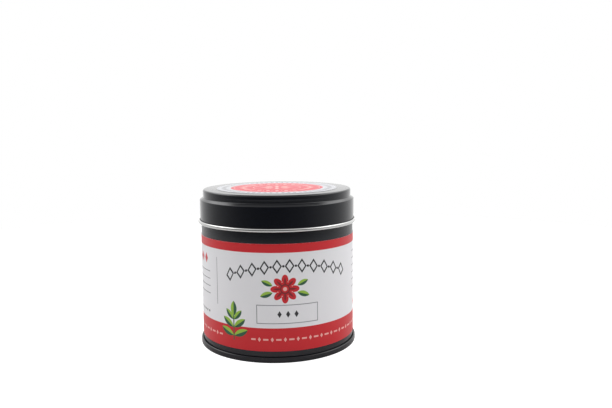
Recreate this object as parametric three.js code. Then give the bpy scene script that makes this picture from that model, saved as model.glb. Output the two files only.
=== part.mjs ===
// Round slip-lid spice tin: a lacquered tinplate can with a double-seamed bottom, a push-on lid
// whose lower edge is curled outward, a paper label wrapped round the wall and a round paper
// sticker on the lid.
//
// Millimetres, +Z up. The origin is the centre of the base, on the surface that the tin stands on.
// The front of the label faces -Y, and the label's two ends meet at the back.

import * as THREE from 'three';

// Materials' thickness and the room between pieces.
const sheet = 0.25;
const paper = 0.1;
const glueLine = 0.02;
const foldGap = 0.08;

// The can's wall and its rim, which curls inward.
const wallRadius = 33;
const rimTop = 62.9;
const rimCurl = 0.5;

// The bottom seam: the end's edge and the wall's edge hooked into each other.
const seamHeight = 2.3;
const seamCorner = 0.35;
const wallHookTip = 1.75;
const endHookTip = 0.85;

// The bottom panel, recessed so that a tin can stand on the lid of another.
const recess = 3.8;
const panelStepRadius = 24.5;
const panelStepRise = 0.4;
const panelStepRun = 0.8;
const panelCorner = 0.8;

// The lid: a flat top, a plug smaller than the can, a sloping shoulder, a skirt and its curl.
const lidTop = 66.8;
const lidEdge = 0.975;
const plugRadius = 32;
const slideGap = 0.1;
const shoulderFoot = 62.6;
const shoulderBend = 0.4;
const lidCurl = 0.57;
const lidCurlBottom = 52.4;
const lidCurlMouth = 0.4;

// The paper label and the sticker.
const labelBottom = 4.6;
const labelTop = 47.9;
const labelSlit = 1;
const stickerRadius = 26;

// Every round piece has the same facets at the same angles, so nested pieces keep their gaps.
const facets = 64;
const half = sheet / 2;
const frontToBack = Math.PI;

const lacquer = { color: 0x0b0b0c, roughness: 0.3, metalness: 0 };
const printedPaper = { color: 0xb93441, roughness: 0.45, metalness: 0 };

// A corner of a sheet's centreline: radius, height, bend radius and the steps in the bend.
const corner = (r, z, bend = 0, steps = 2) => ({ at: new THREE.Vector2(r, z), bend, steps });

// The centreline through the corners, with each bend as a run of short chords.
function centreline(corners) {
  const points = [];
  const add = (point) => {
    const last = points[points.length - 1];
    if (!last || last.distanceTo(point) > 1e-4) points.push(point);
  };
  corners.forEach(({ at, bend, steps }, index) => {
    if (bend === 0) {
      add(at);
      return;
    }
    const back = corners[index - 1].at.clone().sub(at).normalize();
    const ahead = corners[index + 1].at.clone().sub(at).normalize();
    const halfAngle = Math.acos(back.dot(ahead)) / 2;
    const bisector = back.clone().add(ahead).normalize();
    const centre = at.clone().addScaledVector(bisector, bend / Math.sin(halfAngle));
    const start = at.clone().addScaledVector(back, bend / Math.tan(halfAngle)).sub(centre);
    const side = Math.sign(ahead.cross(back));
    const turn = side * (Math.PI - 2 * halfAngle);
    for (let step = 0; step <= steps; step += 1) {
      add(start.clone().rotateAround(new THREE.Vector2(), (turn * step) / steps).add(centre));
    }
  });
  return points;
}

// The closed outline of a sheet of even thickness along a centreline, inner face first.
function sheetOutline(points) {
  const offsets = points.map((point, index) => {
    const before = point.clone().sub(points[Math.max(index - 1, 0)]).normalize();
    const after = points[Math.min(index + 1, points.length - 1)].clone().sub(point).normalize();
    const direction = before.clone().add(after).normalize();
    const reference = index === 0 ? after : before;
    const mitre = half / direction.dot(reference);
    return new THREE.Vector2(-direction.y, direction.x).multiplyScalar(mitre);
  });
  const innerFace = points.map((point, index) => point.clone().sub(offsets[index]));
  const outerFace = points.map((point, index) => point.clone().add(offsets[index]));
  return [...innerFace, ...outerFace.reverse()];
}

// A sheet turned about the vertical axis, from the corners of its centreline.
function turnedSheet(corners) {
  const outline = sheetOutline(centreline(corners));
  if (outline[0].x > half) outline.push(outline[0].clone());
  const geometry = new THREE.LatheGeometry(outline, facets);
  geometry.rotateX(Math.PI / 2);
  return geometry;
}

// Where a facet of a round piece lies at an angle from the front, seen from above.
function facetPoint(radius, angle) {
  const pitch = (2 * Math.PI) / facets;
  const low = Math.floor(angle / pitch) * pitch;
  const share = (angle - low) / pitch;
  const at = (turn) => new THREE.Vector2(Math.sin(turn), -Math.cos(turn)).multiplyScalar(radius);
  return at(low).lerp(at(low + pitch), share);
}

// The can's wall, from the free end of the rim's curl, over the top, down and into the seam.
function canWall() {
  const centre = wallRadius - half;
  const hook = centre + 2 * (foldGap + sheet);
  const curlTop = rimTop - half;
  const foot = sheet + foldGap + half;
  const fold = foldGap + sheet;
  return turnedSheet([
    corner(centre - rimCurl, curlTop - 2 * rimCurl),
    corner(centre - 2 * rimCurl, curlTop - 2 * rimCurl, rimCurl),
    corner(centre - 2 * rimCurl, curlTop, rimCurl),
    corner(centre, curlTop, rimCurl),
    corner(centre, foot, fold),
    corner(hook, foot, fold),
    corner(hook, wallHookTip),
  ]);
}

// The bottom end: a stepped panel, the chuck wall, the base ring and the hook of the seam.
function canBottom() {
  const chuckWall = wallRadius - sheet - foldGap - half;
  const hook = wallRadius + foldGap + half;
  const outside = hook + 2 * (foldGap + sheet);
  const panel = recess + half;
  const ledge = panel + panelStepRise;
  const fold = foldGap + sheet;
  return turnedSheet([
    corner(0, panel),
    corner(panelStepRadius, panel),
    corner(panelStepRadius + panelStepRun, ledge),
    corner(chuckWall, ledge, panelCorner),
    corner(chuckWall, half, seamCorner),
    corner(outside, half, seamCorner),
    corner(outside, seamHeight - half, fold),
    corner(hook, seamHeight - half, fold),
    corner(hook, endHookTip),
  ]);
}

// The lid, from the middle of its top to the free end of its curl.
function lid() {
  const top = lidTop - half;
  const plug = plugRadius - half;
  const skirt = wallRadius + slideGap + half;
  const shoulderRise = skirt - plug;
  const curlLow = lidCurlBottom + half;
  const curlHigh = curlLow + 2 * lidCurl;
  const curlOut = skirt + 2 * lidCurl;
  return turnedSheet([
    corner(0, top),
    corner(plug, top, lidEdge, 3),
    corner(plug, shoulderFoot + shoulderRise, shoulderBend, 1),
    corner(skirt, shoulderFoot, shoulderBend, 1),
    corner(skirt, curlLow, lidCurl),
    corner(curlOut, curlLow, lidCurl),
    corner(curlOut, curlHigh, lidCurl),
    corner(skirt + lidCurlMouth, curlHigh),
  ]);
}

// The label: a band of paper round the wall, with a slit at the back where its ends meet.
function wrapLabel() {
  const inside = wallRadius + glueLine;
  const outside = inside + paper;
  const slitAngle = labelSlit / outside;
  const pitch = (2 * Math.PI) / facets;
  const angles = [frontToBack + slitAngle / 2];
  for (let step = 1; step < facets; step += 1) angles.push(frontToBack + step * pitch);
  angles.push(3 * frontToBack - slitAngle / 2);
  const outerEdge = angles.map((angle) => facetPoint(outside, angle));
  const innerEdge = angles.map((angle) => facetPoint(inside, angle)).reverse();
  const shape = new THREE.Shape([...outerEdge, ...innerEdge]);
  const height = labelTop - labelBottom;
  return new THREE.ExtrudeGeometry(shape, { depth: height, bevelEnabled: false });
}

// The sticker: a paper disc, lying on the lid.
function lidSticker() {
  const geometry = new THREE.CylinderGeometry(stickerRadius, stickerRadius, paper, facets);
  geometry.rotateX(Math.PI / 2);
  return geometry;
}

function piece(name, geometry, finish, height = 0) {
  const mesh = new THREE.Mesh(geometry, new THREE.MeshStandardMaterial(finish));
  mesh.name = name;
  mesh.position.z = height;
  return mesh;
}

const can = new THREE.Group();
can.add(piece('can_wall', canWall(), lacquer));
can.add(piece('can_bottom', canBottom(), lacquer));
can.add(piece('wrap_label', wrapLabel(), printedPaper, labelBottom));

const cover = new THREE.Group();
cover.add(piece('lid', lid(), lacquer));
cover.add(piece('lid_sticker', lidSticker(), printedPaper, lidTop + glueLine + paper / 2));

const spiceTin = new THREE.Group();
spiceTin.add(can, cover);

export default spiceTin;
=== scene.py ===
"""A round slip-lid spice tin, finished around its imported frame, on a pale floor in soft light."""

import logging
import math
from dataclasses import dataclass, field
from enum import Enum
from typing import Iterable, Sequence, Union

import bpy
from mathutils import Matrix, Vector


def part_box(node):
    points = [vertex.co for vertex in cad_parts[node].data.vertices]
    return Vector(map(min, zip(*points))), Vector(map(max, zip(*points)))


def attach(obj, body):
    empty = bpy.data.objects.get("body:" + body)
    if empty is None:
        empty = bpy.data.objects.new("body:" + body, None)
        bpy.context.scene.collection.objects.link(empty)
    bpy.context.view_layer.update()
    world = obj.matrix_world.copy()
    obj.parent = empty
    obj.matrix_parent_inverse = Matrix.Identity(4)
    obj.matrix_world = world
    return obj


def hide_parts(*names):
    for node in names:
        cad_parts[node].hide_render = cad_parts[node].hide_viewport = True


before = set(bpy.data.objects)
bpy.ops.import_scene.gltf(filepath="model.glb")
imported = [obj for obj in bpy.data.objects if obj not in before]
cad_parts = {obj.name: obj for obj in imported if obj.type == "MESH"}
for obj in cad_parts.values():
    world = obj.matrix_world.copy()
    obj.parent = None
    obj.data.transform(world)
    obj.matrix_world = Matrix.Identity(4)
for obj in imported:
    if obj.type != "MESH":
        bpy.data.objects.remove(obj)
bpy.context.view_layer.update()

log = logging.getLogger("spice_tin")

MM = 0.001
FULL_TURN = 2 * math.pi
AXIS = (0.0, 0.0, 1.0)
CENTRE = (0.0, 0.0, 0.0)
PHOTO_SIZE = (612, 408)
SENSOR_WIDTH = 36.0

Colour = tuple[float, float, float]
Number = Union["Field", float]
Stops = tuple[tuple[float, float], ...]
Spot = tuple[float, float]
Stretch = tuple[float, float, float]


def node_box(node: str) -> tuple[Vector, Vector]:
    """Gives a CAD node's box in millimetres.

    Args:
        node: The node's name in the frame.

    Returns:
        Its lowest and highest corners.
    """
    low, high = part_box(node)
    return Vector(low) / MM, Vector(high) / MM


def screen_colour(red: int, green: int, blue: int) -> Colour:
    """Turns a colour as seen on a screen into the linear values that a shader takes.

    Args:
        red: Red, from 0 to 255.
        green: Green, from 0 to 255.
        blue: Blue, from 0 to 255.

    Returns:
        The linear colour.
    """
    linear = []
    for level in (red, green, blue):
        share = level / 255
        linear.append(share / 12.92 if share <= 0.04045 else ((share + 0.055) / 1.055) ** 2.4)
    return tuple(linear)


class Face(Enum):
    """The side of a sheet that looks away from the tin's own metal, by where it is probed."""

    UP = Vector((0, 0, 1))
    DOWN = Vector((0, 0, -1))
    OUT = Vector((0, -1, 0))


@dataclass(frozen=True)
class Corner:
    """A corner of a sheet's centreline: where it is, and its bend's radius and chords."""

    radius: float
    height: float
    bend: float = 0.0
    chords: int = 8

    @property
    def at(self) -> Vector:
        """The corner as a point in the section's plane."""
        return Vector((self.radius, self.height))


def centreline(corners: Sequence[Corner]) -> list[Vector]:
    """Rounds the corners of a sheet's centreline.

    Args:
        corners: The corners in order, in millimetres.

    Returns:
        The points of the line, with each bend as short chords.
    """
    points: list[Vector] = []
    for index, corner in enumerate(corners):
        if corner.bend == 0:
            points.append(corner.at)
            continue
        back = (corners[index - 1].at - corner.at).normalized()
        ahead = (corners[index + 1].at - corner.at).normalized()
        half_angle = back.angle(ahead) / 2
        centre = corner.at + (back + ahead).normalized() * corner.bend / math.sin(half_angle)
        start = corner.at + back * corner.bend / math.tan(half_angle) - centre
        side = math.copysign(1.0, ahead.x * back.y - ahead.y * back.x)
        for chord in range(corner.chords + 1):
            turn = side * (math.pi - 2 * half_angle) * chord / corner.chords
            points.append(centre + Matrix.Rotation(turn, 2) @ start)
    kept = [points[0]]
    for point in points[1:]:
        if (point - kept[-1]).length > 1e-4:
            kept.append(point)
    return kept


class Bench:
    """The edit-mode steps that the pieces are made with."""

    ring_steps = 240
    weld_reach = 0.001
    kept_angle = 40.0

    @staticmethod
    def start(name: str, at: Vector) -> bpy.types.Object:
        """Starts a piece as one point, and leaves it in edit mode.

        Args:
            name: The piece's name.
            at: The point, in millimetres.

        Returns:
            The new object.
        """
        bpy.ops.object.select_all(action="DESELECT")
        bpy.ops.mesh.primitive_plane_add(size=MM, location=CENTRE)
        piece = bpy.context.object
        piece.name = name
        piece.data.name = name
        bpy.ops.object.mode_set(mode="EDIT")
        bpy.ops.mesh.select_all(action="SELECT")
        bpy.ops.mesh.merge(type="CENTER")
        bpy.ops.transform.translate(value=at * MM)
        return piece

    @staticmethod
    def draw(points: Sequence[Vector]) -> None:
        """Extrudes the selected point along a line.

        Args:
            points: The line's points, in millimetres, the first being where the piece is now.
        """
        for before, after in zip(points, points[1:]):
            step = (after - before) * MM
            bpy.ops.mesh.extrude_region_move(TRANSFORM_OT_translate={"value": step})

    @staticmethod
    def spin(angle: float = FULL_TURN, steps: int = ring_steps) -> None:
        """Spins the drawn line about the tin's axis and welds what meets.

        Args:
            angle: How far it is spun, in radians.
            steps: How many faces the turn has.
        """
        bpy.ops.mesh.select_all(action="SELECT")
        bpy.ops.mesh.spin(steps=steps, angle=angle, center=CENTRE, axis=AXIS)
        bpy.ops.mesh.select_all(action="SELECT")
        bpy.ops.mesh.remove_doubles(threshold=Bench.weld_reach * MM)
        bpy.ops.mesh.normals_make_consistent(inside=False)

    @staticmethod
    def face(piece: bpy.types.Object, probe: Vector, side: Face) -> None:
        """Turns a sheet so that its printed or lacquered side looks the right way, and leaves edit mode.

        Args:
            piece: The sheet, in edit mode.
            probe: A point of the sheet, in millimetres.
            side: Where the sheet's outer side looks there.
        """
        bpy.ops.object.mode_set(mode="OBJECT")
        faces = piece.data.polygons
        nearest = min(faces, key=lambda face: (face.center - probe * MM).length)
        if nearest.normal.dot(side.value) < 0:
            bpy.ops.object.mode_set(mode="EDIT")
            bpy.ops.mesh.select_all(action="SELECT")
            bpy.ops.mesh.flip_normals()
            bpy.ops.object.mode_set(mode="OBJECT")

    @staticmethod
    def thicken(piece: bpy.types.Object, thickness: float) -> None:
        """Gives a sheet its thickness, half to each side of what was drawn.

        Its inner side and its cut edges take the second material.

        Args:
            piece: The sheet.
            thickness: In millimetres.
        """
        solidify = piece.modifiers.new("thickness", "SOLIDIFY")
        solidify.thickness = thickness * MM
        solidify.offset = 0.0
        solidify.use_even_offset = True
        solidify.material_offset = 1
        solidify.material_offset_rim = 1
        bpy.ops.object.modifier_apply(modifier=solidify.name)

    @staticmethod
    def smooth() -> None:
        """Shades the active piece smooth, and keeps its sharp edges."""
        bpy.ops.object.shade_smooth_by_angle(angle=math.radians(Bench.kept_angle))


class Field:
    """A value that varies over a surface. Arithmetic on it adds Math nodes to its tree."""

    def __init__(self, tree: bpy.types.NodeTree, socket: bpy.types.NodeSocket) -> None:
        """Wraps a socket.

        Args:
            tree: The node tree.
            socket: The output that carries the value.
        """
        self.tree = tree
        self.socket = socket

    def math(self, operation: str, *others: Number) -> "Field":
        """Adds a Math node.

        Args:
            operation: The node's operation.
            others: The inputs after this one.

        Returns:
            The node's result.
        """
        node = self.tree.nodes.new("ShaderNodeMath")
        node.operation = operation
        for slot, value in zip(node.inputs, (self, *others)):
            if isinstance(value, Field):
                self.tree.links.new(value.socket, slot)
            else:
                slot.default_value = value
        return Field(self.tree, node.outputs[0])

    def __add__(self, other: Number) -> "Field":
        """Adds a field or a number."""
        return self.math("ADD", other)

    def __sub__(self, other: Number) -> "Field":
        """Subtracts a field or a number."""
        return self.math("SUBTRACT", other)

    def __mul__(self, other: Number) -> "Field":
        """Multiplies by a field or a number."""
        return self.math("MULTIPLY", other)

    def __abs__(self) -> "Field":
        """Gives the size without the sign."""
        return self.math("ABSOLUTE")

    def smaller(self, other: Number) -> "Field":
        """Gives the smaller of two, which joins two shapes."""
        return self.math("MINIMUM", other)

    def larger(self, other: Number) -> "Field":
        """Gives the larger of two, which keeps what two shapes share."""
        return self.math("MAXIMUM", other)

    def hypot(self, other: "Field") -> "Field":
        """Gives the distance from the origin of a point with these two coordinates."""
        return (self * self + other * other).math("SQRT")

    def held(self) -> "Field":
        """Holds the value between 0 and 1."""
        return self.larger(0.0).smaller(1.0)

    def mask(self, soft: float = 0.08) -> "Field":
        """Turns a signed distance into ink.

        Args:
            soft: How wide the ink's edge is, in millimetres.

        Returns:
            1 inside the shape and 0 outside.
        """
        return (self * (-1 / soft) + 0.5).held()


@dataclass(frozen=True)
class Drawing:
    """A place on a flat or rolled-out print, in millimetres, that shapes are measured from."""

    u: Field
    v: Field

    def moved(self, across: float, up: float) -> "Drawing":
        """Puts the origin elsewhere."""
        return Drawing(self.u - across, self.v - up)

    def turned(self, degrees: float) -> "Drawing":
        """Turns what is drawn anticlockwise about the origin."""
        cosine, sine = math.cos(math.radians(degrees)), math.sin(math.radians(degrees))
        return Drawing(self.u * cosine + self.v * sine, self.v * cosine - self.u * sine)

    def mirrored(self) -> "Drawing":
        """Draws the right-hand half on both sides."""
        return Drawing(abs(self.u), self.v)

    def repeated(self, pitch: float) -> "Drawing":
        """Repeats what is drawn along the line."""
        return Drawing(self.u.math("WRAP", pitch / 2, -pitch / 2), self.v)

    def arched(self, sag: float) -> "Drawing":
        """Bends the line down to both sides, by sag for each square millimetre."""
        return Drawing(self.u, self.v + self.u * self.u * sag)

    def ringed(self, radius: float, count: int) -> "Drawing":
        """Repeats what is drawn round a ring, with up pointing outward."""
        angle = self.u.math("ARCTAN2", self.v)
        share = FULL_TURN / count
        turn = angle.math("WRAP", share / 2, -share / 2)
        reach = self.u.hypot(self.v)
        return Drawing(reach * turn.math("SINE"), reach * turn.math("COSINE") - radius)

    def disc(self, radius: float) -> Field:
        """Measures from a disc."""
        return self.u.hypot(self.v) - radius

    def bar(self, half_width: float, half_height: float) -> Field:
        """Measures from a rectangle."""
        return (abs(self.u) - half_width).larger(abs(self.v) - half_height)

    def outline(self, half_width: float, half_height: float, line: float) -> Field:
        """Measures from a rectangle's line."""
        return abs(self.bar(half_width, half_height)) - line / 2

    def oval(self, half_width: float, half_height: float) -> Field:
        """Measures from an oval."""
        narrow = min(half_width, half_height)
        return Drawing(
            self.u * (narrow / half_width), self.v * (narrow / half_height)
        ).disc(narrow)

    def lozenge(self, half_width: float, half_height: float) -> Field:
        """Measures from a lozenge."""
        slope = min(half_width, half_height)
        return abs(self.u) * (slope / half_width) + abs(self.v) * (slope / half_height) - slope

    def leaf(self, length: float, width: float) -> Field:
        """Measures from a pointed leaf that stands on the origin."""
        half_length, half_width = length / 2, width / 2
        radius = (half_length**2 + half_width**2) / width
        return (abs(self.u) + (radius - half_width)).hypot(self.v - half_length) - radius


def joined(shapes: Iterable[Field]) -> Field:
    """Joins shapes into one.

    Args:
        shapes: The distances from them.

    Returns:
        The distance from the nearest.
    """
    first, *others = shapes
    for shape in others:
        first = first.smaller(shape)
    return first


@dataclass
class Paint:
    """A material in the making: its tree, its shader and the surface's own coordinates."""

    name: str
    material: bpy.types.Material = field(init=False)

    def __post_init__(self) -> None:
        """Makes the material with a Principled shader."""
        self.material = bpy.data.materials.new(self.name)
        self.material.use_nodes = True
        self.tree = self.material.node_tree
        self.shader = self.tree.nodes["Principled BSDF"]
        coordinates = self.tree.nodes.new("ShaderNodeTexCoord")
        self.mapping = self.tree.nodes.new("ShaderNodeMapping")
        self.mapping.inputs["Scale"].default_value = (1 / MM, 1 / MM, 1 / MM)
        self.tree.links.new(coordinates.outputs["Object"], self.mapping.inputs["Vector"])

    def set(self, **values: Union[float, Sequence[float]]) -> None:
        """Sets the shader's own sockets, with underscores for the spaces in their names."""
        for name, value in values.items():
            socket = self.shader.inputs[name.replace("_", " ")]
            is_colour = socket.type == "RGBA" and len(value) == 3
            socket.default_value = (*value, 1.0) if is_colour else value

    def axes(self) -> tuple[Field, Field, Field]:
        """Gives the surface's x, y and z in millimetres."""
        split = self.tree.nodes.new("ShaderNodeSeparateXYZ")
        self.tree.links.new(self.mapping.outputs["Vector"], split.inputs["Vector"])
        return tuple(Field(self.tree, split.outputs[axis]) for axis in "XYZ")

    def noise(self, scale: float, detail: float = 2.0, stretch: Stretch = (1.0, 1.0, 1.0)) -> Field:
        """Adds noise.

        Args:
            scale: Waves a millimetre.
            detail: How many finer layers it has.
            stretch: How much denser it is along each axis.

        Returns:
            The noise, about 0.5.
        """
        squeeze = self.tree.nodes.new("ShaderNodeMapping")
        squeeze.inputs["Scale"].default_value = stretch
        self.tree.links.new(self.mapping.outputs["Vector"], squeeze.inputs["Vector"])
        node = self.tree.nodes.new("ShaderNodeTexNoise")
        node.inputs["Scale"].default_value = scale
        node.inputs["Detail"].default_value = detail
        self.tree.links.new(squeeze.outputs["Vector"], node.inputs["Vector"])
        return Field(self.tree, node.outputs["Fac"])

    def blend(self, mask: Field, under: object, over: object) -> bpy.types.NodeSocket:
        """Lays one colour over another.

        Args:
            mask: Where the upper colour shows.
            under: The lower colour, or the socket that carries it.
            over: The upper colour, or its socket.

        Returns:
            The socket of the mixed colour.
        """
        node = self.tree.nodes.new("ShaderNodeMix")
        node.data_type = "RGBA"
        self.tree.links.new(mask.socket, node.inputs["Factor"])
        for slot, colour in zip((node.inputs[6], node.inputs[7]), (under, over)):
            if isinstance(colour, bpy.types.NodeSocket):
                self.tree.links.new(colour, slot)
            else:
                slot.default_value = (*colour, 1.0)
        return node.outputs[2]

    def colour(self, socket: bpy.types.NodeSocket) -> None:
        """Gives the shader its varying colour."""
        self.tree.links.new(socket, self.shader.inputs["Base Color"])

    def roughness(self, value: Field) -> None:
        """Gives the shader its varying roughness."""
        self.tree.links.new(value.socket, self.shader.inputs["Roughness"])

    def relief(self, height: Field, depth: float) -> None:
        """Adds a bump.

        Args:
            height: The relief, from 0 to 1.
            depth: How deep it is, in millimetres.
        """
        bump = self.tree.nodes.new("ShaderNodeBump")
        bump.inputs["Strength"].default_value = 1.0
        bump.inputs["Distance"].default_value = depth * MM
        self.tree.links.new(height.socket, bump.inputs["Height"])
        self.tree.links.new(bump.outputs["Normal"], self.shader.inputs["Normal"])


@dataclass(frozen=True)
class BlackLacquer:
    """Black satin lacquer, with a faint orange peel from the rollers that laid it on."""

    colour: Colour = (0.0015, 0.0024, 0.0056)
    sheen_low: float = 0.1
    sheen_high: float = 0.15
    cloud_scale: float = 0.12
    peel_scale: float = 0.9
    peel_depth: float = 0.0006

    def material(self) -> bpy.types.Material:
        """Makes the finish.

        Returns:
            The material.
        """
        paint = Paint("black_lacquer")
        paint.set(Base_Color=self.colour, IOR=1.5)
        cloud = paint.noise(self.cloud_scale, 3.0)
        paint.roughness(cloud * (self.sheen_high - self.sheen_low) + self.sheen_low)
        paint.relief(paint.noise(self.peel_scale), self.peel_depth)
        return paint.material


@dataclass(frozen=True)
class BareTin:
    """Bright tinplate, with the fine lines that rolling leaves in the sheet."""

    colour: Colour = (0.64, 0.64, 0.63)
    sheen_low: float = 0.08
    sheen_high: float = 0.16
    line_scale: float = 0.9
    line_stretch: Stretch = (1.0, 1.0, 14.0)
    line_depth: float = 0.0003

    def material(self) -> bpy.types.Material:
        """Makes the finish.

        Returns:
            The material.
        """
        paint = Paint("bare_tin")
        paint.set(Base_Color=self.colour, Metallic=1.0)
        lines = paint.noise(self.line_scale, 3.0, self.line_stretch)
        paint.roughness(lines * (self.sheen_high - self.sheen_low) + self.sheen_low)
        paint.relief(lines, self.line_depth)
        return paint.material


@dataclass(frozen=True)
class Inks:
    """The colours of the prints."""

    paper: Colour = screen_colour(232, 231, 234)
    grey_paper: Colour = screen_colour(200, 201, 206)
    red: Colour = screen_colour(203, 18, 30)
    pink_red: Colour = screen_colour(216, 24, 54)
    deep_red: Colour = screen_colour(122, 16, 24)
    blush: Colour = screen_colour(240, 176, 170)
    black: Colour = screen_colour(38, 38, 42)
    grey: Colour = screen_colour(128, 128, 132)
    leaf: Colour = screen_colour(150, 190, 62)
    dark_leaf: Colour = screen_colour(34, 84, 58)


@dataclass(frozen=True)
class PrintedPaper:
    """Coated label paper: a clear sheen over the inks and a fine fibre underneath."""

    inks: Inks = Inks()
    roughness: float = 0.34
    roughness_spread: float = 0.08
    edge_roughness: float = 0.7
    fibre_depth: float = 0.0015

    def coat(self, paint: Paint) -> None:
        """Gives a print the sheen and the relief of its paper.

        Args:
            paint: The material in the making.
        """
        paint.set(IOR=1.5)
        paint.roughness(paint.noise(0.3) * self.roughness_spread + self.roughness)
        paint.relief(paint.noise(3.0, 3.0), self.fibre_depth)

    def cut_edge(self) -> bpy.types.Material:
        """Makes the paper's bare back and cut edge.

        Returns:
            The material.
        """
        paint = Paint("paper_edge")
        paint.set(Base_Color=self.inks.paper, Roughness=self.edge_roughness)
        paint.relief(paint.noise(4.0, 3.0), self.fibre_depth)
        return paint.material


@dataclass(frozen=True)
class LabelPrint(PrintedPaper):
    """The wrap label's print: red bands, a red blossom, a leaf sprig and ruled fields.

    Places are in millimetres across from the front's middle line and up from the tin's base.
    """

    radius: float = 33.12
    low_band: float = 14.08
    high_band: float = 44.38
    heading_spot: Spot = (4.6, 39.1)
    heading_half: float = 26.97
    heading_sag: float = 0.0066
    heading_pitch: float = 5.0
    blossom_spot: Spot = (2.7, 29.9)
    petals: int = 8
    sprig_foot: Spot = (-19.0, 8.4)
    sprig_clear: float = 7.0
    frame_spot: Spot = (3.8, 19.7)
    upright_spot: Spot = (-28.0, 31.2)
    left_field: float = -41.0
    right_field: float = 49.6
    rule_pitch: float = 3.1
    dash_height: float = 9.4
    dash_pitch: float = 5.2

    def place(self, paint: Paint) -> Drawing:
        """Rolls the label out flat, with the origin on the front's middle line at the base.

        Args:
            paint: The material in the making.

        Returns:
            The drawing that the motifs start from.
        """
        x, y, z = paint.axes()
        angle = x.math("ARCTAN2", y * -1.0)
        return Drawing(angle * self.radius, z)

    def bands(self, sheet: Drawing) -> Field:
        """Measures from the two red bands."""
        return (sheet.v * -1.0 + self.high_band).smaller(sheet.v - self.low_band)

    def heading(self, sheet: Drawing) -> Field:
        """Measures from the arched row of open lozenges and dots."""
        line = sheet.moved(*self.heading_spot).arched(self.heading_sag)
        lozenges = abs(line.repeated(self.heading_pitch).lozenge(1.6, 2.4)) - 0.34
        dots = line.moved(self.heading_pitch / 2, 0.0).repeated(self.heading_pitch).disc(0.5)
        return lozenges.smaller(dots).larger(line.bar(self.heading_half, 4.0))

    def blossom(self, sheet: Drawing) -> tuple[Field, Field, Field]:
        """Measures from the blossom's petals, from their shadows and from its lights."""
        middle = sheet.moved(*self.blossom_spot)
        petals = middle.ringed(3.65, self.petals).oval(1.36, 2.15)
        shadows = [middle.ringed(1.5, self.petals).leaf(3.2, 0.8), abs(middle.disc(1.75)) - 0.3]
        between = middle.turned(180 / self.petals)
        lights = [middle.disc(0.8), between.ringed(3.1, self.petals).disc(0.22)]
        return petals.smaller(middle.disc(1.9)), joined(shadows), joined(lights)

    def foliage(self, sheet: Drawing) -> tuple[Field, Field]:
        """Measures from the leaves of the sprig and the blossom, and from their dark parts."""
        foot = sheet.moved(*self.sprig_foot)
        halves = foot.mirrored()
        places = [(foot.moved(0.0, 9.6), 6.2, 2.9)]
        for rise, lean, length in ((1.6, -66.0, 6.8), (5.0, -54.0, 6.4), (8.2, -42.0, 5.4)):
            places.append((halves.moved(0.1, rise).turned(lean), length, length * 0.42))
        wings = sheet.moved(*self.blossom_spot).mirrored()
        places.append((wings.moved(5.0, 1.4).turned(-66.0), 4.8, 2.1))
        places.append((wings.moved(5.0, -1.4).turned(-108.0), 5.2, 2.3))
        light = joined(place.leaf(length, width) for place, length, width in places)
        dark = [foot.moved(0.0, 4.9).bar(0.24, 5.2)]
        for place, length, width in places:
            dark.append(place.leaf(length, width).larger(place.u * -1.0))
        return light, joined(dark)

    def rules(self, sheet: Drawing) -> Field:
        """Measures from the thin frames and ruled lines."""
        lines = [
            sheet.moved(*self.frame_spot).outline(12.5, 3.7, 0.3),
            sheet.moved(*self.upright_spot).bar(0.13, 9.7),
        ]
        # Each field: its place across, its top rule, its rules, and half their length and width.
        fields = (
            (self.left_field, 34.2, 4, 7.6, 0.17),
            (self.right_field, 40.4, 6, 8.2, 0.17),
            (76.0, 37.2, 7, 15.0, 0.14),
            (-74.0, 37.2, 7, 14.0, 0.14),
        )
        for across, top, count, half_width, half_line in fields:
            for row in range(count):
                rule = sheet.moved(across, top - self.rule_pitch * row)
                lines.append(rule.bar(half_width, half_line))
        return joined(lines)

    def marks(self, sheet: Drawing) -> tuple[Field, Field]:
        """Measures from the small black marks, and from the small red ones."""
        middle = sheet.moved(*self.frame_spot)
        black = middle.repeated(3.4).lozenge(0.85, 1.4).larger(middle.bar(4.6, 2.0))
        side = sheet.moved(self.left_field, 17.2)
        black = black.smaller(side.repeated(2.1).disc(0.5).larger(side.bar(7.0, 1.0)))
        red = []
        for across, rise, size in ((self.left_field, 39.4, 1.5), (self.right_field, 17.6, 1.3)):
            side = sheet.moved(across, rise)
            row = side.repeated(4.2).lozenge(size, size * 1.5)
            red.append(row.larger(side.bar(6.3, 3.0)))
        return black, joined(red)

    def band_dots(self, sheet: Drawing) -> Field:
        """Measures from the light dashes and dots along the lower band, clear of the sprig."""
        line = sheet.moved(0.0, self.dash_height)
        dashes = line.repeated(self.dash_pitch).bar(1.05, 0.34)
        dots = line.moved(self.dash_pitch / 2, 0.0).repeated(self.dash_pitch).lozenge(0.62, 0.95)
        clear = line.moved(self.sprig_foot[0] + 0.8, 0.0).bar(self.sprig_clear, 2.0) * -1.0
        return dashes.smaller(dots).larger(clear)

    def material(self) -> bpy.types.Material:
        """Makes the printed face.

        Returns:
            The material.
        """
        paint = Paint("label_print")
        sheet = self.place(paint)
        inks = self.inks
        petals, shadows, lights = self.blossom(sheet)
        leaves, dark = self.foliage(sheet)
        black, red = self.marks(sheet)
        layers = (
            (self.bands(sheet), inks.red),
            (self.rules(sheet), inks.grey),
            (red, inks.red),
            (black.smaller(self.heading(sheet)), inks.black),
            (leaves, inks.leaf),
            (dark, inks.dark_leaf),
            (petals, inks.red),
            (shadows, inks.deep_red),
            (lights.smaller(self.band_dots(sheet)), inks.blush),
        )
        colour = inks.paper
        for shape, ink in layers:
            colour = paint.blend(shape.mask(), colour, ink)
        paint.colour(colour)
        self.coat(paint)
        return paint.material


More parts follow.
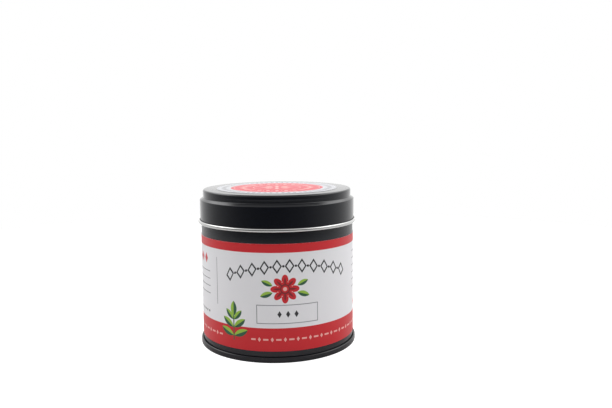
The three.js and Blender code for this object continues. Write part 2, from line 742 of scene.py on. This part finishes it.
@dataclass(frozen=True)
class StickerPrint(PrintedPaper):
    """The lid sticker's print: a red disc with a light rosette, in a pale ring of grey leaves."""

    disc_radius: float = 20.0
    petals: int = 8
    petal_ring: float = 4.6
    bead_ring: float = 14.6
    beads: int = 24
    line_rings: tuple[float, float] = (10.2, 18.6)
    leaf_ring: float = 21.7
    leaves: int = 60

    def material(self) -> bpy.types.Material:
        """Makes the printed face.

        Returns:
            The material.
        """
        paint = Paint("sticker_print")
        x, y, _ = paint.axes()
        sheet = Drawing(x, y)
        inks = self.inks
        light = [
            sheet.ringed(self.petal_ring, self.petals).lozenge(1.1, 2.6),
            sheet.disc(0.9),
            sheet.ringed(self.bead_ring, self.beads).lozenge(0.95, 1.8),
            sheet.turned(180 / self.beads).ringed(self.bead_ring, self.beads).disc(0.42),
        ]
        for radius, half_line in zip(self.line_rings, (0.16, 0.12)):
            light.append(abs(sheet.disc(radius)) - half_line)
        leaves = sheet.ringed(self.leaf_ring, self.leaves).leaf(2.6, 1.3)
        colour = paint.blend(sheet.disc(self.disc_radius).mask(), inks.grey_paper, inks.pink_red)
        colour = paint.blend(joined(light).mask(), colour, inks.blush)
        colour = paint.blend(leaves.mask(), colour, inks.grey)
        paint.colour(colour)
        self.coat(paint)
        return paint.material


@dataclass
class TinPiece:
    """A piece of the tin: what it is called, what it rides on and what it stands for."""

    name: str
    body: str
    node: str
    slot: str
    piece: bpy.types.Object = field(default=None, init=False)

    def build(self) -> None:
        """Models the piece."""
        raise NotImplementedError

    def finishes(self) -> list[bpy.types.Material]:
        """Gives the finish of the outer side, and then that of the inner side."""
        raise NotImplementedError

    def dress(self) -> None:
        """Gives the modelled piece its finishes and its place in the frame."""
        for slot, finish in enumerate(self.finishes()):
            if slot < len(self.piece.data.materials):
                self.piece.data.materials[slot] = finish
            else:
                self.piece.data.materials.append(finish)
        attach(self.piece, self.body)
        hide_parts(self.node)

    def make(self) -> None:
        """Builds and dresses the piece, and reports it."""
        self.build()
        self.dress()
        log.info("%s: %d faces, rides on %s", self.name, len(self.piece.data.polygons), self.body)


@dataclass
class SpunSheet(TinPiece):
    """A piece made of one sheet that is the same all round the tin's axis."""

    sheet: float = 0.25
    fold_gap: float = 0.08
    wall_radius: float = 33.0

    def corners(self) -> list[Corner]:
        """Gives the corners of the sheet's centreline."""
        raise NotImplementedError

    def probe(self) -> tuple[Vector, Face]:
        """Gives a point of the sheet, and where its outer side looks there."""
        raise NotImplementedError

    def shape(self) -> None:
        """Changes the spun sheet where it isn't the same all round."""

    def build(self) -> None:
        """Draws the sheet's section, spins it and gives it its thickness."""
        points = [Vector((0.0, -point.x, point.y)) for point in centreline(self.corners())]
        self.piece = Bench.start(self.name, points[0])
        Bench.draw(points)
        Bench.spin()
        self.shape()
        Bench.face(self.piece, *self.probe())
        for name in ("outer", "inner"):
            self.piece.data.materials.append(bpy.data.materials.new(f"{self.name}_{name}"))
        Bench.thicken(self.piece, self.sheet)
        Bench.smooth()

    def finishes(self) -> list[bpy.types.Material]:
        """Gives black lacquer outside and bare tin inside."""
        return [BlackLacquer().material(), BareTin().material()]


@dataclass
class CanWall(SpunSheet):
    """The rolled wall: an inward curl at the rim, and the wall's hook in the bottom seam."""

    rim_top: float = 62.9
    rim_curl: float = 0.5
    rim_room: float = 0.17
    hook_tip: float = 1.75
    weld_width: float = 0.6
    weld_height: float = 0.04

    @property
    def centre(self) -> float:
        """The radius of the wall's middle."""
        return self.wall_radius - self.sheet / 2

    def corners(self) -> list[Corner]:
        """Gives the corners of the wall's centreline, from the rim to the hook.

        The rim stays a little below the frame's, to leave room for the lid's shoulder.
        """
        fold = self.fold_gap + self.sheet
        top = self.rim_top - self.rim_room - self.sheet / 2
        inside = self.centre - 2 * self.rim_curl
        hook = self.centre + 2 * fold
        foot = self.fold_gap + 1.5 * self.sheet
        return [
            Corner(self.centre - self.rim_curl, top - 2 * self.rim_curl),
            Corner(inside, top - 2 * self.rim_curl, self.rim_curl),
            Corner(inside, top, self.rim_curl),
            Corner(self.centre, top, self.rim_curl),
            Corner(self.centre, self.rim_top / 2),
            Corner(self.centre, foot, fold),
            Corner(hook, foot, fold),
            Corner(hook, self.hook_tip),
        ]

    def probe(self) -> tuple[Vector, Face]:
        """Gives the front of the wall, which looks out."""
        return Vector((0.0, -self.centre, self.rim_top / 2)), Face.OUT

    def shape(self) -> None:
        """Raises the welded lap that closes the rolled wall at the back."""
        bpy.ops.mesh.select_all(action="DESELECT")
        bpy.ops.object.mode_set(mode="OBJECT")
        top = self.rim_top - 2 * self.rim_curl - self.sheet
        for vertex in self.piece.data.vertices:
            across, back, height = Vector(vertex.co) / MM
            near_lap = abs(across) < self.weld_width and back > 0
            vertex.select = near_lap and 2 * self.sheet < height < top
        bpy.ops.object.mode_set(mode="EDIT")
        growth = 1 + self.weld_height / self.centre
        bpy.ops.transform.resize(value=(growth, growth, 1.0), center_override=CENTRE)


@dataclass
class CanBottom(SpunSheet):
    """The seamed-on end: a recessed stepped panel, the chuck wall, the base ring and the seam."""

    seam_height: float = 2.3
    seam_corner: float = 0.35
    hook_tip: float = 0.85
    recess: float = 3.8
    step_radius: float = 24.5
    step_rise: float = 0.4
    step_run: float = 0.8
    step_bend: float = 0.5
    step_chords: int = 4
    panel_corner: float = 0.8

    def corners(self) -> list[Corner]:
        """Gives the corners of the end's centreline, from the panel's middle to the hook."""
        half = self.sheet / 2
        fold = self.fold_gap + self.sheet
        chuck_wall = self.wall_radius - self.sheet - self.fold_gap - half
        hook = self.wall_radius + self.fold_gap + half
        outside = hook + 2 * fold
        panel = self.recess + half
        ledge = panel + self.step_rise
        seam = self.seam_height - half
        return [
            Corner(0.0, panel),
            Corner(self.step_radius, panel, self.step_bend, self.step_chords),
            Corner(self.step_radius + self.step_run, ledge, self.step_bend, self.step_chords),
            Corner(chuck_wall, ledge, self.panel_corner),
            Corner(chuck_wall, half, self.seam_corner),
            Corner(outside, half, self.seam_corner),
            Corner(outside, seam, fold),
            Corner(hook, seam, fold),
            Corner(hook, self.hook_tip),
        ]

    def probe(self) -> tuple[Vector, Face]:
        """Gives the panel's middle, whose outer side looks down."""
        return Vector((0.0, -self.step_radius / 2, self.recess)), Face.DOWN


@dataclass
class SlipLid(SpunSheet):
    """The push-on lid: a flat top, a plug, a sloping shoulder, a skirt and an outward curl."""

    top: float = 66.8
    edge: float = 0.7
    edge_chords: int = 12
    plug_radius: float = 32.0
    slide_gap: float = 0.1
    waist: float = 0.06
    waist_height: float = 65.05
    waist_bend: float = 6.0
    waist_chords: int = 3
    plug_foot: float = 63.4
    plug_bend: float = 0.6
    shoulder_foot: float = 62.45
    shoulder_bend: float = 0.3
    curl_bottom: float = 52.4
    curl_lift: float = 0.15
    curl_reach: float = 1.22
    curl_lean: float = 0.26
    curl_rise: float = 1.25
    curl_low_bend: float = 0.52
    curl_high_bend: float = 0.38
    curl_mouth: float = 0.36

    def corners(self) -> list[Corner]:
        """Gives the corners of the lid's centreline, from the middle of its top to the curl."""
        half = self.sheet / 2
        top = self.top - half
        plug = self.plug_radius - half
        skirt = self.wall_radius + self.slide_gap + half
        low = self.curl_bottom + self.curl_lift + half
        high = low + self.curl_rise
        out = skirt + self.curl_reach
        return [
            Corner(0.0, top),
            Corner(plug, top, self.edge, self.edge_chords),
            Corner(plug, self.waist_height, self.waist_bend, self.waist_chords),
            Corner(plug - self.waist, self.plug_foot, self.plug_bend),
            Corner(skirt, self.shoulder_foot, self.shoulder_bend),
            Corner(skirt, low, self.curl_low_bend),
            Corner(out, low, self.curl_low_bend),
            Corner(out - self.curl_lean, high, self.curl_high_bend),
            Corner(skirt + self.curl_mouth, high),
        ]

    def probe(self) -> tuple[Vector, Face]:
        """Gives a point of the top, which looks up."""
        return Vector((0.0, -self.plug_radius / 2, self.top)), Face.UP


@dataclass
class WrapLabel(TinPiece):
    """The paper label round the wall, with its two ends a slit apart at the back."""

    paper: float = 0.1
    slit: float = 1.0

    def build(self) -> None:
        """Spins one upright end of the label round the wall, to the other end."""
        low, high = node_box(self.node)
        radius = high.x - self.paper / 2
        start = (math.pi / 2) + self.slit / 2 / radius
        ends = [radius * math.cos(start), radius * math.sin(start)]
        points = [Vector((*ends, low.z)), Vector((*ends, high.z))]
        self.piece = Bench.start(self.name, points[0])
        Bench.draw(points)
        Bench.spin(FULL_TURN - self.slit / radius)
        Bench.face(self.piece, Vector((0.0, -radius, (low.z + high.z) / 2)), Face.OUT)
        for side in ("print", "back"):
            self.piece.data.materials.append(bpy.data.materials.new(f"{self.name}_{side}"))
        Bench.thicken(self.piece, self.paper)
        Bench.smooth()

    def finishes(self) -> list[bpy.types.Material]:
        """Gives the print outside and bare paper inside."""
        face = LabelPrint()
        return [face.material(), face.cut_edge()]


@dataclass
class LidSticker(TinPiece):
    """The round paper sticker on the lid."""

    edge_round: float = 0.03

    def build(self) -> None:
        """Cuts a disc, raises it to the paper's thickness and rounds its upper edge."""
        low, high = node_box(self.node)
        bpy.ops.object.select_all(action="DESELECT")
        bpy.ops.mesh.primitive_circle_add(
            vertices=Bench.ring_steps, radius=high.x * MM, fill_type="NGON", location=CENTRE
        )
        self.piece = bpy.context.object
        self.piece.name = self.name
        self.piece.data.name = self.name
        bpy.ops.object.mode_set(mode="EDIT")
        bpy.ops.mesh.select_all(action="SELECT")
        bpy.ops.transform.translate(value=(0.0, 0.0, low.z * MM))
        rise = {"value": (0.0, 0.0, (high.z - low.z) * MM)}
        bpy.ops.mesh.extrude_region_move(TRANSFORM_OT_translate=rise)
        bpy.ops.mesh.bevel(offset=self.edge_round * MM, segments=2, affect="EDGES")
        bpy.ops.mesh.select_all(action="SELECT")
        bpy.ops.mesh.normals_make_consistent(inside=False)
        bpy.ops.object.mode_set(mode="OBJECT")
        Bench.smooth()

    def finishes(self) -> list[bpy.types.Material]:
        """Gives the print."""
        return [StickerPrint().material()]


@dataclass(frozen=True)
class Studio:
    """A white tent open towards the camera, over a pale floor that fades into it."""

    floor_radius: float = 0.41
    floor_clear: float = 0.385
    floor_sides: int = 128
    floor_level: float = 0.65
    floor_roughness: float = 0.9
    floor_glow: float = 0.85
    side_lean: float = 0.15
    horizon: Stops = (
        (0.0, 0.12),
        (0.15, 0.22),
        (0.25, 0.34),
        (0.5, 0.66),
        (0.75, 1.05),
        (1.0, 1.48),
    )
    panels: Stops = ((0.0, 1.2), (0.2, 1.38), (0.5, 4.9), (0.8, 3.1), (1.0, 2.1))
    overhead: float = 0.7
    panel_share: Stops = ((0.52, 0.0), (0.66, 0.06), (0.71, 0.3), (0.77, 1.0))
    overhead_share: Stops = ((0.86, 0.0), (0.91, 1.0))

    def floor(self) -> None:
        """Lays the floor, which fades out towards its edge and is clear from below."""
        bpy.ops.object.select_all(action="DESELECT")
        bpy.ops.mesh.primitive_circle_add(
            vertices=self.floor_sides,
            radius=self.floor_radius,
            fill_type="NGON",
            location=CENTRE,
        )
        plate = bpy.context.object
        plate.name = "floor"
        material = bpy.data.materials.new("pale_floor")
        material.use_nodes = True
        tree = material.node_tree
        shader = tree.nodes["Principled BSDF"]
        shader.inputs["Base Color"].default_value = (*(self.floor_level,) * 3, 1.0)
        shader.inputs["Roughness"].default_value = self.floor_roughness
        coordinates = tree.nodes.new("ShaderNodeTexCoord")
        length = tree.nodes.new("ShaderNodeVectorMath")
        length.operation = "LENGTH"
        tree.links.new(coordinates.outputs["Object"], length.inputs[0])
        fade = tree.nodes.new("ShaderNodeMapRange")
        fade.inputs["From Min"].default_value = self.floor_clear
        fade.inputs["From Max"].default_value = self.floor_radius
        fade.inputs["To Min"].default_value = 1.0
        fade.inputs["To Max"].default_value = 0.0
        fade.interpolation_type = "SMOOTHSTEP"
        tree.links.new(length.outputs["Value"], fade.inputs["Value"])
        geometry = tree.nodes.new("ShaderNodeNewGeometry")
        above = Field(tree, geometry.outputs["Backfacing"]) * -1.0 + 1.0
        cover = above * Field(tree, fade.outputs["Result"])
        tree.links.new(cover.socket, shader.inputs["Alpha"])
        path = tree.nodes.new("ShaderNodeLightPath")
        glow = Field(tree, path.outputs["Is Camera Ray"]) * self.floor_glow
        shader.inputs["Emission Color"].default_value = (1.0, 1.0, 1.0, 1.0)
        tree.links.new(glow.socket, shader.inputs["Emission Strength"])
        plate.data.materials.append(material)

    @staticmethod
    def graded(place: Field, stops: Stops) -> Field:
        """Grades a level along a line.

        Args:
            place: The place on the line, from 0 to 1.
            stops: The levels and their places.

        Returns:
            The level.
        """
        level = place * 0.0 + stops[0][1]
        for (start, low), (end, high) in zip(stops, stops[1:]):
            share = ((place - start) * (1 / (end - start))).held()
            level = level + share * (high - low)
        return level

    def tent(self) -> None:
        """Lights the scene from all round.

        The tent is dim low down on the camera's side and bright low down behind. Light panels
        stand all round, from a third to half of the way up, brightest at the sides. The top
        above them is dimmer.
        """
        world = bpy.data.worlds.new("tent")
        world.use_nodes = True
        bpy.context.scene.world = world
        tree = world.node_tree
        tree.nodes.clear()
        coordinates = tree.nodes.new("ShaderNodeTexCoord")
        split = tree.nodes.new("ShaderNodeSeparateXYZ")
        tree.links.new(coordinates.outputs["Generated"], split.inputs["Vector"])
        across, back, up = (Field(tree, split.outputs[axis]) for axis in "XYZ")
        depth = (back + across * self.side_lean) * 0.5 + 0.5
        height = up * 0.5 + 0.5
        low = self.graded(depth, self.horizon)
        middle = self.graded(depth, self.panels)
        panel_share = self.graded(height, self.panel_share)
        overhead_share = self.graded(height, self.overhead_share)
        level = low + (middle - low) * panel_share
        level = level + (level * -1.0 + self.overhead) * overhead_share
        lit = tree.nodes.new("ShaderNodeBackground")
        tree.links.new(level.socket, lit.inputs["Strength"])
        seen = tree.nodes.new("ShaderNodeBackground")
        seen.inputs["Color"].default_value = (1.0, 1.0, 1.0, 1.0)
        path = tree.nodes.new("ShaderNodeLightPath")
        either = tree.nodes.new("ShaderNodeMixShader")
        output = tree.nodes.new("ShaderNodeOutputWorld")
        tree.links.new(path.outputs["Is Camera Ray"], either.inputs["Fac"])
        tree.links.new(lit.outputs["Background"], either.inputs[1])
        tree.links.new(seen.outputs["Background"], either.inputs[2])
        tree.links.new(either.outputs["Shader"], output.inputs["Surface"])

    def set_up(self) -> None:
        """Lays the floor and lights it."""
        self.floor()
        self.tent()
        bpy.context.scene.view_settings.view_transform = "Standard"


@dataclass(frozen=True)
class PhotoCamera:
    """The camera where the photograph was taken from, in metres and degrees."""

    distance: float = 0.28275
    height: float = 0.09406
    pan: float = 2.557
    tilt: float = 6.976
    roll: float = 0.412
    focal_pixels: float = 650.85

    def place(self) -> None:
        """Puts the camera in the scene and makes it the scene's own."""
        data = bpy.data.cameras.new("photo_camera")
        data.sensor_width = SENSOR_WIDTH
        data.lens = self.focal_pixels * SENSOR_WIDTH / PHOTO_SIZE[0]
        data.clip_start = 0.01
        camera = bpy.data.objects.new("photo_camera", data)
        turn = Matrix.Rotation(-math.radians(self.pan), 4, "Z")
        turn @= Matrix.Rotation(math.radians(90 - self.tilt), 4, "X")
        turn @= Matrix.Rotation(-math.radians(self.roll), 4, "Z")
        camera.matrix_world = Matrix.Translation((0.0, -self.distance, self.height)) @ turn
        bpy.context.scene.collection.objects.link(camera)
        bpy.context.scene.camera = camera


def tin_pieces() -> list[TinPiece]:
    """Lists the tin's pieces, with the sizes that the frame gives.

    Returns:
        The pieces, from the can up.
    """
    _, rim = node_box("can_wall")
    lid_low, lid_high = node_box("lid")
    return [
        CanWall("wall_sheet", "can", "can_wall", "can_lacquer", rim_top=rim.z),
        CanBottom("bottom_end", "can", "can_bottom", "end_lacquer"),
        WrapLabel("paper_label", "can", "wrap_label", "label_paper"),
        SlipLid("slip_lid", "lid", "lid", "lid_lacquer", top=lid_high.z, curl_bottom=lid_low.z),
        LidSticker("paper_sticker", "lid", "lid_sticker", "sticker_paper"),
    ]


def main() -> None:
    """Builds the camera, the studio and the tin's pieces in order."""
    logging.basicConfig(level=logging.INFO, format="%(name)s: %(message)s")
    PhotoCamera().place()
    Studio().set_up()
    for piece in tin_pieces():
        piece.make()


if __name__ == "__main__":
    main()
